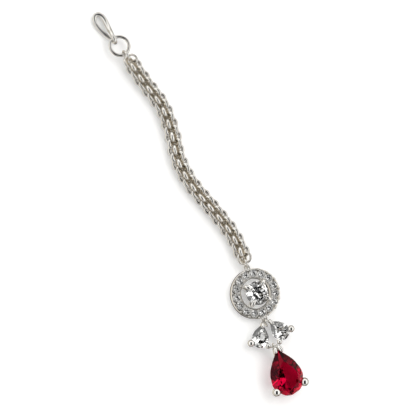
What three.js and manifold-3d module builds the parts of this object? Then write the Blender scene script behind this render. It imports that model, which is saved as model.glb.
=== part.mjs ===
// Maang tikka, a jewel for the hair parting, lying face up on a flat surface.
// Millimetres, +Z up. The pendant hangs along Y: hook at +Y, red drop at -Y, stones facing +Z.
// Everything is laid out from the halo's centre, and the whole is moved onto its origin at the end.
import * as THREE from 'three';
import { mergeVertices } from 'three/addons/utils/BufferGeometryUtils.js';
import { ConvexGeometry } from 'three/addons/geometries/ConvexGeometry.js';
import Module from 'manifold-3d';

const wasm = await Module();
wasm.setup();

// Clearances
const SEAT_GAP = 0.15;            // between a stone and the metal that holds it
const LINK_GAP = 0.12;            // between two wires that pass through each other
const FLOOR_GAP = 0.05;           // a raised wire's underside above the surface

// Halo: band, its stones, grains and two loops
const HALO_DIAMETER = 15;
const HALO_OPENING = 8.9;
const BAND_HEIGHT = 2;
const BAND_EDGE = 0.2;            // rounding of the band's edges
const HALO_STONE_COUNT = 15;
const HALO_STONE_DIAMETER = 2;
const HALO_SEAT_DEPTH = 1.1;
const GRAIN_DIAMETER = 0.72;
const LOOP_WIRE = 0.55;
const LOOP_WIDTH = 1.5;           // between the middles of a loop's legs

// Centre stone and its basket
const CENTRE_STONE_DIAMETER = 7.1;
const CENTRE_GIRDLE_LEVEL = 4;
const BASKET_RING_DIAMETER = 5.2;
const BASKET_WIRE = 0.7;
const CENTRE_CLAW_WIRE = 0.86;
const CENTRE_CLAW_REACH = 0.5;    // how far a claw's tip reaches in over the stone
const CENTRE_CLAW_ANGLES = [45, 135, 225, 315];

// White pear stones in a V and their setting
const PEAR_LENGTH = 6.6;
const PEAR_WIDTH = 4.8;
const PEAR_SPREAD = 28.5;         // degrees of each pear from the pendant's axis
const PEAR_TIP_X = 1.4;
const PEAR_TIP_DROP = 1.9;        // from the halo's edge down to the pears' tips
const PEAR_GIRDLE_LEVEL = 2.3;
const PEAR_OUTER_BALL = 1.8;
const PEAR_INNER_BALL = 1.5;
const PEAR_PRONG_WIRE = 1;
const PEAR_PRONG_OUT = 0.7;       // from the stone's edge out to the middle of a prong's ball
const CROSS_BAR_WIRE = 0.6;
const CROSS_BAR_SAG = 0.6;

// Red drop and its setting
const DROP_LENGTH = 14;
const DROP_WIDTH = 10;
const DROP_GIRDLE_LEVEL = 4.2;
const DROP_BALL_DIAMETER = 2.4;
const DROP_PRONG_OUT = 0.25;
const DROP_PRONG_ANGLES = [-150, -30];
const DROP_CLAW_WIRE = 1.15;
const DROP_LOOP_GAP = 0.2;        // between the cross bar and the drop's loop
const GALLERY_HEIGHT = 0.8;       // the wire frame under each pear stone
const GALLERY_WALL = 0.7;
const GALLERY_SHARE = 0.66;       // the frame's outline as a share of its stone's

// Chain and links
const CHAIN_RING_DIAMETER = 3.8;
const CHAIN_WIRE = 0.68;
const CHAIN_FAN_OFFSET = 0.66;    // from the chain's axis to the middle of each ring
const CHAIN_END_ANGLE = 60;       // degrees from upright of the two rings at each end
const LINK_WIRE = 0.62;
const JUMP_RING_DIAMETER = 6.6;
const JUMP_RING_WIRE = 1;

// Hook
const HOOK_WIRE = 1.15;
const HOOK_LENGTH = 8.8;          // from the jump ring's wire to the middle of the far bend
const HOOK_WIDTH = 2.9;           // between the middles of its two legs
const HOOK_PLACE = 25;            // degrees round the jump ring, from its far side to the hook
const HOOK_LEAN = 15;             // degrees of the hook from the pendant's axis
const HOOK_SEAM_GAP = 0.35;       // between the wire's two ends, on the left leg

// The chain's route on the surface, top to bottom, across (x) and along (y) the pendant's axis,
// from the halo's centre. It ends above the halo, where the bottom link holds it.
const CHAIN_ROUTE = [
  { x: -13.2, y: 76.6 },
  { x: -11.1, y: 69.3 },
  { x: -8.7, y: 61.3 },
  { x: -8.4, y: 53.0 },
  { x: -8.9, y: 44.7 },
  { x: -7.5, y: 36.5 },
  { x: -4.3, y: 28.5 },
  { x: -1.5, y: 20.8 },
];

// Facets of a round stone: rings of corners, as shares of its radius and of crown or pavilion
const BRILLIANT_RINGS = [
  { corners: 8, turn: 0.5, radius: 0.56, crown: 1 },
  { corners: 8, turn: 0, radius: 0.82, crown: 0.56 },
  { corners: 16, turn: 0, radius: 1, crown: 0.1 },
  { corners: 16, turn: 0, radius: 1, pavilion: 0.04 },
  { corners: 8, turn: 0.5, radius: 0.3, pavilion: 0.76 },
];
// Facets of a pear stone: copies of its outline, as shares of its size and heights
const PEAR_RINGS = [
  { corners: 8, share: 0.6, crown: 1 },
  { corners: 16, share: 0.84, crown: 0.58 },
  { corners: 20, share: 1, crown: 0.1 },
  { corners: 20, share: 1, pavilion: 0.05 },
  { corners: 10, share: 0.5, pavilion: 0.62 },
];
const CROWN_SHARE = 0.17;         // crown height as a share of a stone's width
const PAVILION_SHARE = 0.4;

// The hook's wire beyond its eye, as shares: across of half its width, along of its length, and lift
// of the height from the surface up to the jump ring's middle
const HOOK_LEFT_LEG = [
  { across: -1, along: 0.74, lift: 0 },
  { across: -1.03, along: 0.58, lift: 0 },
  { across: -0.76, along: 0.34, lift: 0 },
  { across: -0.36, along: 0.16, lift: 0 },
];
const HOOK_RIGHT_LEG = [
  { across: 0.2, along: 0.17, lift: 1.5 },
  { across: 0.48, along: 0.34, lift: 0.7 },
  { across: 0.87, along: 0.59, lift: 0.12 },
  { across: 1, along: 0.78, lift: 0 },
  { across: 0.72, along: 0.95, lift: 0 },
  { across: 0.05, along: 1, lift: 0 },
  { across: -0.64, along: 0.94, lift: 0 },
  { across: -0.97, along: 0.8, lift: 0 },
];
// Half of a soldered loop, as shares: across of half its width, short of half its width from its top
const LOOP_ARC = [
  { across: 1, short: 0.6 },
  { across: 0.6, short: 0.12 },
  { across: 0, short: 0 },
];
// The chain's outer shape on its right side, as shares: across of its half width, up of the height
// above its axis, or down of the height below it
const CHAIN_SECTION = [
  { across: 0.3, down: 1 },
  { across: 0.82, down: 0.3 },
  { across: 0.98, up: 0.16 },
  { across: 0.82, up: 0.56 },
  { across: 0.5, up: 0.85 },
  { across: 0.17, up: 1 },
];
// Half of a pear's outline: the handles of its side's curve, as shares of its half width and point
const PEAR_SIDE = { tipHandle: { across: 0.42, up: 0.74 }, bellyHandle: { across: 1, up: 0.46 } };

const SIDE_COUNT = { fine: 6, chain: 5, ball: 10, grain: 8, seat: 8 };
const STEP_COUNT = { ring: 12, jumpRing: 16, hook: 40, claw: 6, leg: 3, loop: 10, chain: 34 };

const up = new THREE.Vector3(0, 0, 1);
const rad = THREE.MathUtils.degToRad;
const at = (x, y, z) => new THREE.Vector3(x, y, z);

// Solids: a closed geometry becomes a manifold, and back
function solid(geometry) {
  const bare = geometry.clone();
  bare.deleteAttribute('normal');
  bare.deleteAttribute('uv');
  const merged = mergeVertices(bare, 1e-5);
  const mesh = new wasm.Mesh({
    numProp: 3,
    vertProperties: new Float32Array(merged.attributes.position.array),
    triVerts: new Uint32Array(merged.index.array),
  });
  return new wasm.Manifold(mesh);
}

function geometryOf(body) {
  const mesh = body.getMesh();
  const geometry = new THREE.BufferGeometry();
  geometry.setAttribute('position', new THREE.BufferAttribute(mesh.vertProperties, 3));
  geometry.setIndex(new THREE.BufferAttribute(mesh.triVerts, 1));
  geometry.computeVertexNormals();
  return geometry;
}

const joined = (bodies) => bodies.reduce((whole, body) => whole.add(body));

// A wire of one thickness along a curve
function wire(curve, thickness, sides, steps) {
  const section = new THREE.Shape(
    Array.from({ length: sides }, (_, i) => {
      const angle = (2 * Math.PI * i) / sides;
      return new THREE.Vector2(Math.cos(angle), Math.sin(angle)).multiplyScalar(thickness / 2);
    }),
  );
  return solid(new THREE.ExtrudeGeometry(section, { steps, extrudePath: curve }));
}

const bend = (points) => new THREE.CatmullRomCurve3(points, false, 'catmullrom', 0.5);

// A round ring of wire: its middle, and the two directions that its plane holds
function ring(middle, along, across, diameter, thickness, sides, steps) {
  const torus = new THREE.TorusGeometry((diameter - thickness) / 2, thickness / 2, sides, steps);
  const frame = new THREE.Matrix4().makeBasis(along, across, along.clone().cross(across));
  return solid(torus.applyMatrix4(frame.setPosition(middle)));
}

function ball(middle, diameter, sides) {
  const sphere = new THREE.SphereGeometry(diameter / 2, sides, sides / 2);
  return solid(sphere.rotateX(Math.PI / 2).translate(middle.x, middle.y, middle.z));
}

// Stones: convex bodies through rings of corners
function brilliantStone(diameter, grow = 0) {
  const radius = diameter / 2 + grow;
  const crown = diameter * CROWN_SHARE + grow;
  const pavilion = diameter * PAVILION_SHARE + grow;
  const corners = [at(0, 0, -pavilion)];
  for (const row of BRILLIANT_RINGS) {
    const z = row.pavilion === undefined ? row.crown * crown : -row.pavilion * pavilion;
    for (let i = 0; i < row.corners; i++) {
      const angle = (2 * Math.PI * (i + row.turn)) / row.corners;
      const reach = radius * row.radius;
      corners.push(at(Math.cos(angle) * reach, Math.sin(angle) * reach, z));
    }
  }
  return new ConvexGeometry(corners);
}

// A small eight-sided stone, turned on a lathe: table, crown, girdle, pavilion
function smallStone(diameter) {
  const radius = diameter / 2;
  const crown = diameter * CROWN_SHARE;
  const pavilion = diameter * PAVILION_SHARE;
  const profile = [
    [0, -pavilion], [radius, -0.1 * crown], [radius, 0.1 * crown], [radius * 0.58, crown], [0, crown],
  ].map(([r, z]) => new THREE.Vector2(r, z));
  return new THREE.LatheGeometry(profile, 8).rotateX(Math.PI / 2);
}

// A pear's outline around the middle of its round end, its point towards +Y
function pearOutline(length, width, count) {
  const r = width / 2;
  const tip = length - r;
  const { tipHandle, bellyHandle } = PEAR_SIDE;
  const nearTip = { x: r * tipHandle.across, y: tip * tipHandle.up };
  const nearBelly = { x: r * bellyHandle.across, y: tip * bellyHandle.up };
  const outline = new THREE.Path();
  outline.moveTo(0, tip);
  outline.bezierCurveTo(-nearTip.x, nearTip.y, -nearBelly.x, nearBelly.y, -r, 0);
  outline.absarc(0, 0, r, Math.PI, 2 * Math.PI, false);
  outline.bezierCurveTo(nearBelly.x, nearBelly.y, nearTip.x, nearTip.y, 0, tip);
  return outline.getSpacedPoints(count).slice(0, count);
}

function pearStone(length, width, grow = 0) {
  const crown = width * CROWN_SHARE + grow;
  const pavilion = width * PAVILION_SHARE + grow;
  const corners = [at(0, 0, -pavilion)];
  for (const row of PEAR_RINGS) {
    const z = row.pavilion === undefined ? row.crown * crown : -row.pavilion * pavilion;
    for (const p of pearOutline(length + 2 * grow, width + 2 * grow, row.corners)) {
      corners.push(at(p.x * row.share, p.y * row.share, z));
    }
  }
  return new ConvexGeometry(corners);
}

// The flat frame under a pear stone, at the pear's own place
function pearGallery(length, width) {
  const outline = (share) => pearOutline(length * share, width * share, 20);
  const innerShare = GALLERY_SHARE - GALLERY_WALL / (width / 2);
  const frame = new THREE.Shape(outline(GALLERY_SHARE));
  frame.holes.push(new THREE.Path(outline(innerShare)));
  const geometry = new THREE.ExtrudeGeometry(frame, { depth: GALLERY_HEIGHT, bevelEnabled: false });
  return solid(geometry);
}

// Chain and links
// The top link and the bottom link each hold a wire on one side and the chain's end on the other.
// Along a link, from the wire it holds: where its own two bends cross and where the chain begins.
const chainRadius = (CHAIN_RING_DIAMETER - CHAIN_WIRE) / 2;
const chainAxisLevel = chainRadius - CHAIN_FAN_OFFSET + CHAIN_WIRE / 2;
const chainCrossing = Math.sqrt(chainRadius ** 2 - CHAIN_FAN_OFFSET ** 2);
const chainKnot = CHAIN_WIRE * 1.9;   // thickness where a course's rings cross on the axis

function linkPlan(heldWire) {
  const back = -(heldWire / 2 + LINK_GAP + LINK_WIRE / 2);
  const knot = heldWire / 2 + LINK_GAP + chainKnot / 2;
  const front = knot + chainKnot / 2 + LINK_GAP + LINK_WIRE / 2;
  return { back, front, middle: (back + front) / 2, chainStart: knot + chainCrossing };
}

const haloRadius = HALO_DIAMETER / 2;
const loopReach = haloRadius + LINK_GAP * 2 + LINK_WIRE + LOOP_WIRE / 2;
const bottomPlan = linkPlan(LOOP_WIRE);
const topPlan = linkPlan(JUMP_RING_WIRE);
// A link stands on the surface, so it sets the height of what it joins
const linkLevel = (plan) => (plan.front - plan.back + LINK_WIRE) / 2 + FLOOR_GAP;
const loopLevel = linkLevel(bottomPlan);
const jumpRingLevel = linkLevel(topPlan);

const routeStart = CHAIN_ROUTE[0];
const routeNext = CHAIN_ROUTE[1];
const topWay = at(routeNext.x - routeStart.x, routeNext.y - routeStart.y, 0).normalize();
const chainTop = at(routeStart.x, routeStart.y, jumpRingLevel);
const chainBottom = at(0, loopReach + bottomPlan.chainStart, loopLevel);
const chainPoints = [
  chainTop,
  ...CHAIN_ROUTE.slice(1).map((p) => at(p.x, p.y, chainAxisLevel)),
  at(0, chainBottom.y + CHAIN_RING_DIAMETER, chainAxisLevel),
  chainBottom,
];
const topWireMiddle = chainTop.clone().addScaledVector(topWay, -topPlan.chainStart);
const ringMiddleRadius = (JUMP_RING_DIAMETER - JUMP_RING_WIRE) / 2;
const jumpRingMiddle = topWireMiddle.clone().addScaledVector(topWay, -ringMiddleRadius);

// Two rings of a chain's end course, leaning apart from the chain's axis
function endRings(middle, along) {
  return [-1, 1].map((side) => {
    const lean = rad(CHAIN_END_ANGLE) * side;
    const across = along.clone().cross(up).multiplyScalar(Math.sin(lean));
    const outward = across.addScaledVector(up, Math.cos(lean)).normalize();
    const place = middle.clone().addScaledVector(outward, CHAIN_FAN_OFFSET);
    return ring(place, along, outward, CHAIN_RING_DIAMETER, CHAIN_WIRE, SIDE_COUNT.chain, STEP_COUNT.ring);
  });
}

// The woven body between the end courses: the rounded outline that its fanned rings fill
function chainBody() {
  const half = CHAIN_FAN_OFFSET + chainRadius + CHAIN_WIRE / 2;
  const rightSide = CHAIN_SECTION.map((p) => {
    const height = p.up === undefined ? -p.down * chainAxisLevel : p.up * half;
    return new THREE.Vector2(p.across * half, height);
  });
  const leftSide = rightSide.map((p) => new THREE.Vector2(-p.x, p.y)).reverse();
  const section = new THREE.Shape([...rightSide, ...leftSide]);
  const start = chainTop.clone().addScaledVector(topWay, CHAIN_WIRE / 2);
  const end = chainBottom.clone().add(at(0, CHAIN_WIRE / 2, 0));
  const path = bend([start, ...chainPoints.slice(1, -1), end]);
  return solid(levelExtrusion(section, path, STEP_COUNT.chain, chainAxisLevel));
}

// An extrusion along a path that keeps its section upright and never sinks below a level
function levelExtrusion(section, path, steps, lowest) {
  const straight = new THREE.ExtrudeGeometry(section, { steps, depth: 1, bevelEnabled: false });
  const places = path.getSpacedPoints(steps);
  const position = straight.attributes.position;
  for (let i = 0; i < position.count; i++) {
    const step = Math.round(position.getZ(i) * steps);
    const way = path.getTangentAt(step / steps).setZ(0).normalize();
    const side = up.clone().cross(way);
    const p = places[step].clone().addScaledVector(side, position.getX(i));
    position.setXYZ(i, p.x, p.y, Math.max(p.z, lowest) + position.getY(i));
  }
  return straight;
}

function chain() {
  const along = at(0, -1, 0);
  return joined([chainBody(), ...endRings(chainTop, topWay), ...endRings(chainBottom, along)]);
}

// A link that stands on edge, long enough for what it holds
function link(heldWire, wireMiddle, way, plan) {
  const middle = wireMiddle.clone().addScaledVector(way, plan.middle);
  const diameter = plan.front - plan.back + LINK_WIRE;
  return ring(middle, way, up, diameter, LINK_WIRE, SIDE_COUNT.fine, STEP_COUNT.ring);
}

function jumpRing() {
  const x = at(1, 0, 0);
  const y = at(0, 1, 0);
  return ring(jumpRingMiddle, x, y, JUMP_RING_DIAMETER, JUMP_RING_WIRE, SIDE_COUNT.fine, STEP_COUNT.jumpRing);
}

// Hook: one wire that starts at a seam beside the far bend, runs down the left leg, under the jump
// ring's wire, up through the ring, back over the wire and up the right leg round the far bend
const onRing = (degrees) => at(-Math.sin(rad(degrees)), Math.cos(rad(degrees)), 0);

function hook() {
  const away = onRing(HOOK_LEAN);
  const side = away.clone().cross(up);
  const eye = jumpRingMiddle.clone().addScaledVector(onRing(HOOK_PLACE), ringMiddleRadius);
  const eyeRadius = JUMP_RING_WIRE / 2 + LINK_GAP * 1.5 + HOOK_WIRE / 2;
  const lying = HOOK_WIRE / 2 + FLOOR_GAP;
  const point = (across, along, level) =>
    eye.clone().addScaledVector(side, across).addScaledVector(away, along).setZ(level);
  const onLeg = (row, extra = 0) => point(row.across * HOOK_WIDTH / 2,
    row.along * HOOK_LENGTH + extra, lying + row.lift * (jumpRingLevel - lying));
  const roundEye = [-90, -135, -180, -225, -270].map((degrees) =>
    point(0, Math.cos(rad(degrees)) * eyeRadius, jumpRingLevel + Math.sin(rad(degrees)) * eyeRadius));
  const seam = HOOK_LEFT_LEG[0];
  const lastEnd = onLeg({ ...seam, across: HOOK_RIGHT_LEG.at(-1).across }, HOOK_SEAM_GAP);
  return wire(bend([
    ...HOOK_LEFT_LEG.map((row) => onLeg(row)),
    ...roundEye,
    ...HOOK_RIGHT_LEG.map((row) => onLeg(row)),
    lastEnd,
  ]), HOOK_WIRE, SIDE_COUNT.fine, STEP_COUNT.hook);
}

// Halo
const stoneCircle = (haloRadius + HALO_OPENING / 2) / 2;
const haloStoneLevel = BAND_HEIGHT - HALO_STONE_DIAMETER * CROWN_SHARE * 0.1;
const haloStoneAngle = (i) => -Math.PI / 2 + (2 * Math.PI * i) / HALO_STONE_COUNT;

function haloBand() {
  const inner = HALO_OPENING / 2;
  const profile = [
    [inner, 0], [haloRadius, 0], [haloRadius, BAND_HEIGHT - BAND_EDGE],
    [haloRadius - BAND_EDGE, BAND_HEIGHT], [inner + BAND_EDGE, BAND_HEIGHT],
    [inner, BAND_HEIGHT - BAND_EDGE], [inner, 0],
  ].map(([r, z]) => new THREE.Vector2(r, z));
  return solid(new THREE.LatheGeometry(profile, HALO_STONE_COUNT * 2).rotateX(Math.PI / 2));
}

function haloSeat(i) {
  const r = HALO_STONE_DIAMETER / 2 + SEAT_GAP;
  const floor = BAND_HEIGHT - HALO_SEAT_DEPTH;
  const rim = BAND_HEIGHT - SEAT_GAP * 1.5;
  const above = BAND_HEIGHT + HALO_SEAT_DEPTH;
  const profile = [
    [0, floor], [r * 0.4, floor], [r, rim], [r, above], [0, above],
  ].map(([x, z]) => new THREE.Vector2(x, z));
  const seat = new THREE.LatheGeometry(profile, SIDE_COUNT.seat).rotateX(Math.PI / 2);
  return solid(seat.translate(stoneCircle, 0, 0).rotateZ(haloStoneAngle(i)));
}

// Two grains between neighbouring stones, one on each side of the stones' circle
function haloGrains(i) {
  const angle = haloStoneAngle(i + 0.5);
  const out = HALO_STONE_DIAMETER * 0.42;
  return [stoneCircle - out, stoneCircle + out].map((r) => {
    const place = at(Math.cos(angle) * r, Math.sin(angle) * r, BAND_HEIGHT);
    return ball(place, GRAIN_DIAMETER, SIDE_COUNT.grain);
  });
}

// A soldered loop on the halo's edge; way is 1 at the top and -1 at the bottom
function haloLoop(way) {
  const half = LOOP_WIDTH / 2;
  const root = { across: 1, short: (loopReach - haloRadius + LOOP_WIRE) / half };
  const side = (sign) => [root, ...LOOP_ARC].map((row) =>
    at(sign * row.across * half, way * (loopReach - row.short * half), loopLevel));
  const leftSide = side(-1);
  const rightSide = side(1).reverse().slice(1);
  return wire(bend([...leftSide, ...rightSide]), LOOP_WIRE, SIDE_COUNT.fine, STEP_COUNT.loop);
}

// Basket under the centre stone: a ring, and four claws that also brace it to the band
function centreBasket() {
  const level = BASKET_WIRE / 2 + FLOOR_GAP;
  const middle = at(0, 0, level);
  const base = ring(middle, at(1, 0, 0), at(0, 1, 0), BASKET_RING_DIAMETER, BASKET_WIRE,
    SIDE_COUNT.fine, STEP_COUNT.jumpRing);
  const stone = CENTRE_STONE_DIAMETER / 2;
  const outside = stone + CENTRE_CLAW_WIRE / 2;
  const foot = (BASKET_RING_DIAMETER - BASKET_WIRE) / 2;
  const girdle = CENTRE_GIRDLE_LEVEL;
  const claws = CENTRE_CLAW_ANGLES.map((degrees) => {
    const way = at(Math.cos(rad(degrees)), Math.sin(rad(degrees)), 0);
    const point = (r, z) => way.clone().multiplyScalar(r).setZ(z);
    const claw = wire(bend([
      point(foot, level),
      point((foot + outside) / 2, girdle * 0.45),
      point(outside, girdle * 0.85),
      point(outside, girdle + CENTRE_CLAW_WIRE / 2),
      point(stone, girdle + CENTRE_CLAW_WIRE * 0.95),
      point(stone - CENTRE_CLAW_REACH, girdle + CENTRE_CLAW_WIRE * 1.05),
    ]), CENTRE_CLAW_WIRE, SIDE_COUNT.fine, STEP_COUNT.claw);
    const brace = new THREE.LineCurve3(point(foot, level), point(HALO_OPENING / 2 + BASKET_WIRE, level));
    return claw.add(wire(brace, BASKET_WIRE, SIDE_COUNT.fine, 1));
  });
  return joined([base, ...claws]);
}

const centreStoneSeat = () => solid(brilliantStone(CENTRE_STONE_DIAMETER, SEAT_GAP))
  .translate([0, 0, CENTRE_GIRDLE_LEVEL]);

function haloSetting() {
  const places = Array.from({ length: HALO_STONE_COUNT }, (_, i) => i);
  let setting = joined([haloBand(), haloLoop(1), haloLoop(-1)]);
  for (const i of places) setting = setting.subtract(haloSeat(i));
  return joined([setting, ...places.flatMap(haloGrains), centreBasket()]).subtract(centreStoneSeat());
}

// Pear pair: where each pear lies, its tip near the pendant's axis and its round end outwards
const pearTipY = -(haloRadius + PEAR_TIP_DROP);

function pearFrame(side) {
  const turn = side * rad(PEAR_SPREAD);
  const toMiddle = PEAR_LENGTH - PEAR_WIDTH / 2;
  const x = side * PEAR_TIP_X + Math.sin(turn) * toMiddle;
  const y = pearTipY - Math.cos(turn) * toMiddle;
  return new THREE.Matrix4().makeRotationZ(turn).setPosition(x, y, 0);
}

const placedIn = (frame) => (x, y, z) => at(x, y, z).applyMatrix4(frame);

function movedBody(body, frame) {
  return body.transform(frame.elements);
}

// A prong beside a pear's round end: a leg from the frame below, and a ball that overlaps the girdle
function prong(place, angle, stoneRadius, out, level, head, leg) {
  const way = [Math.cos(angle), Math.sin(angle)];
  const foot = stoneRadius * GALLERY_SHARE - GALLERY_WALL / 2;
  const reach = stoneRadius + out;
  const points = [
    { r: foot, z: leg / 2 + FLOOR_GAP },
    { r: (foot + reach + leg) / 2, z: level / 2 },
    { r: reach, z: level },
  ];
  const line = bend(points.map(({ r, z }) => place(way[0] * r, way[1] * r, z)));
  const ballMiddle = place(way[0] * reach, way[1] * reach, level + head * 0.1);
  return wire(line, leg, SIDE_COUNT.fine, STEP_COUNT.leg).add(ball(ballMiddle, head, SIDE_COUNT.ball));
}

// A claw over a pear's point
function tipClaw(place, x, tipY, level, thickness, lean) {
  const out = thickness * 0.42;
  return wire(bend([
    place(x * 0.4, (tipY + out) * GALLERY_SHARE - out, thickness / 2 + FLOOR_GAP),
    place(x * 0.8, tipY - thickness * 0.35, level * 0.6),
    place(x, tipY + out, level),
    place(x + lean, tipY - thickness * 0.5, level + thickness * 0.55),
  ]), thickness, SIDE_COUNT.fine, STEP_COUNT.claw);
}

// The left pear's prongs, in degrees round its round end; the right pear mirrors them
const PEAR_PRONGS = {
  outer: { angle: -148, ball: PEAR_OUTER_BALL },
  inner: { angle: -32, ball: PEAR_INNER_BALL },
};
const prongAngle = (row, side) => (side < 0 ? rad(row.angle) : Math.PI - rad(row.angle));

function pearBasket(side) {
  const frame = pearFrame(side);
  const place = placedIn(frame);
  const r = PEAR_WIDTH / 2;
  const prongs = Object.values(PEAR_PRONGS).map((row) =>
    prong(place, prongAngle(row, side), r, PEAR_PRONG_OUT, PEAR_GIRDLE_LEVEL, row.ball, PEAR_PRONG_WIRE));
  const claw = tipClaw(place, 0, PEAR_LENGTH - r, PEAR_GIRDLE_LEVEL, PEAR_PRONG_WIRE, 0);
  return joined([movedBody(pearGallery(PEAR_LENGTH, PEAR_WIDTH), frame), claw, ...prongs]);
}

// The arch over the V's top, which the pear link holds, and the bar across its foot
const archY = -(loopReach + LOOP_WIRE + LINK_GAP);

function pearArch() {
  const foot = pearTipY - PEAR_PRONG_WIRE * 0.6;
  return wire(bend([
    at(-PEAR_TIP_X, foot, loopLevel), at(-PEAR_TIP_X * 0.6, archY - LOOP_WIRE * 0.3, loopLevel),
    at(0, archY, loopLevel), at(PEAR_TIP_X * 0.6, archY - LOOP_WIRE * 0.3, loopLevel),
    at(PEAR_TIP_X, foot, loopLevel),
  ]), LOOP_WIRE, SIDE_COUNT.fine, STEP_COUNT.loop);
}

function innerProngPlace(side) {
  const angle = prongAngle(PEAR_PRONGS.inner, side);
  const reach = PEAR_WIDTH / 2 + PEAR_PRONG_OUT;
  return placedIn(pearFrame(side))(Math.cos(angle) * reach, Math.sin(angle) * reach, loopLevel);
}

const crossBarY = innerProngPlace(1).y - CROSS_BAR_SAG;

function crossBar() {
  const left = innerProngPlace(-1);
  const right = innerProngPlace(1);
  return wire(bend([
    left, at(left.x * 0.5, crossBarY, loopLevel), at(right.x * 0.5, crossBarY, loopLevel), right,
  ]), CROSS_BAR_WIRE, SIDE_COUNT.fine, STEP_COUNT.loop);
}

function pearSeat(side) {
  const seat = solid(pearStone(PEAR_LENGTH, PEAR_WIDTH, SEAT_GAP)).translate([0, 0, PEAR_GIRDLE_LEVEL]);
  return movedBody(seat, pearFrame(side));
}

function pearSetting() {
  const metal = joined([pearBasket(-1), pearBasket(1), pearArch(), crossBar()]);
  return metal.subtract(pearSeat(-1)).subtract(pearSeat(1));
}

// The link between the halo's lower loop and the arch
function pearLink() {
  const upper = -(haloRadius + LINK_GAP + LINK_WIRE / 2);
  const lower = archY - LOOP_WIRE / 2 - LINK_GAP - LINK_WIRE / 2;
  const diameter = upper - lower + LINK_WIRE;
  const middle = at(0, (upper + lower) / 2, loopLevel);
  return ring(middle, at(0, 1, 0), up, diameter, LINK_WIRE, SIDE_COUNT.fine, STEP_COUNT.ring);
}

// Red drop
const dropLoopDiameter = CROSS_BAR_WIRE + 2 * (DROP_LOOP_GAP + LOOP_WIRE);
const dropTipY = crossBarY - dropLoopDiameter / 2;
const dropFrame = new THREE.Matrix4().setPosition(0, dropTipY - (DROP_LENGTH - DROP_WIDTH / 2), 0);

function dropSetting() {
  const place = placedIn(dropFrame);
  const r = DROP_WIDTH / 2;
  const tip = DROP_LENGTH - r;
  const balls = DROP_PRONG_ANGLES.map((degrees) =>
    prong(place, rad(degrees), r, DROP_PRONG_OUT, DROP_GIRDLE_LEVEL, DROP_BALL_DIAMETER, DROP_CLAW_WIRE));
  const claws = [-1, 1].map((side) =>
    tipClaw(place, side * DROP_CLAW_WIRE * 0.55, tip, DROP_GIRDLE_LEVEL, DROP_CLAW_WIRE, side * 0.3));
  const loop = ring(at(0, crossBarY, loopLevel), at(0, 1, 0), up, dropLoopDiameter, LOOP_WIRE,
    SIDE_COUNT.fine, STEP_COUNT.ring);
  const neck = wire(bend([
    place(0, DROP_LENGTH - r + LOOP_WIRE / 2, loopLevel), place(0, tip * 0.88, loopLevel * 0.7),
    place(0, tip * GALLERY_SHARE - GALLERY_WALL / 2, GALLERY_HEIGHT / 2),
  ]), LOOP_WIRE, SIDE_COUNT.fine, STEP_COUNT.leg);
  const gallery = movedBody(pearGallery(DROP_LENGTH, DROP_WIDTH), dropFrame);
  const seat = solid(pearStone(DROP_LENGTH, DROP_WIDTH, SEAT_GAP)).translate([0, 0, DROP_GIRDLE_LEVEL]);
  return joined([gallery, ...balls, ...claws, loop, neck]).subtract(movedBody(seat, dropFrame));
}

// Materials, one for each piece
function finish(kind) {
  const looks = {
    silver: { color: 0xc9c8c4, roughness: 0.14, metalness: 1 },
    white: { color: 0xf2f5f8, roughness: 0.03, metalness: 0 },
    red: { color: 0x8c0424, roughness: 0.04, metalness: 0 },
  };
  return new THREE.MeshStandardMaterial(looks[kind]);
}

const tikka = new THREE.Group();

function piece(name, geometry, kind, frame = new THREE.Matrix4(), level = 0) {
  const mesh = new THREE.Mesh(geometry, finish(kind));
  mesh.name = name;
  mesh.applyMatrix4(frame);
  mesh.position.z += level;
  tikka.add(mesh);
}

piece('hook', geometryOf(hook()), 'silver');
piece('jump_ring', geometryOf(jumpRing()), 'silver');
piece('top_link', geometryOf(link(JUMP_RING_WIRE, topWireMiddle, topWay, topPlan)), 'silver');
piece('chain', geometryOf(chain()), 'silver');
const bottomWireMiddle = at(0, loopReach, loopLevel);
piece('bottom_link', geometryOf(link(LOOP_WIRE, bottomWireMiddle, at(0, 1, 0), bottomPlan)), 'silver');
piece('halo_setting', geometryOf(haloSetting()), 'silver');
for (let i = 0; i < HALO_STONE_COUNT; i++) {
  const angle = haloStoneAngle(i);
  const frame = new THREE.Matrix4().makeRotationZ(angle);
  frame.setPosition(Math.cos(angle) * stoneCircle, Math.sin(angle) * stoneCircle, 0);
  const name = `halo_stone_${String(i + 1).padStart(2, '0')}`;
  piece(name, smallStone(HALO_STONE_DIAMETER), 'white', frame, haloStoneLevel);
}
piece('centre_stone', brilliantStone(CENTRE_STONE_DIAMETER), 'white', new THREE.Matrix4(),
  CENTRE_GIRDLE_LEVEL);
piece('pear_link', geometryOf(pearLink()), 'silver');
piece('pear_setting', geometryOf(pearSetting()), 'silver');
piece('left_pear_stone', pearStone(PEAR_LENGTH, PEAR_WIDTH), 'white', pearFrame(-1), PEAR_GIRDLE_LEVEL);
piece('right_pear_stone', pearStone(PEAR_LENGTH, PEAR_WIDTH), 'white', pearFrame(1), PEAR_GIRDLE_LEVEL);
piece('drop_setting', geometryOf(dropSetting()), 'silver');
piece('red_pear_stone', pearStone(DROP_LENGTH, DROP_WIDTH), 'red', dropFrame, DROP_GIRDLE_LEVEL);

// Origin: the middle of the whole jewel's footprint, on the surface that it lies on
const bounds = new THREE.Box3().setFromObject(tikka, true);
const middle = bounds.getCenter(new THREE.Vector3());
tikka.position.set(-middle.x, -middle.y, -bounds.min.z);
tikka.updateMatrixWorld(true);

export default tikka;
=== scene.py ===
# Maang tikka: a hair jewel lying face up. Sizes are in millimetres from the halo's middle, across (x)
# and along (y) the pendant's axis, up (z) from the surface. PLACE brings them to the frame's metres.
import math

import bmesh
import bpy
from mathutils import Matrix, Quaternion, Vector
from mathutils.kdtree import KDTree


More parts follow.
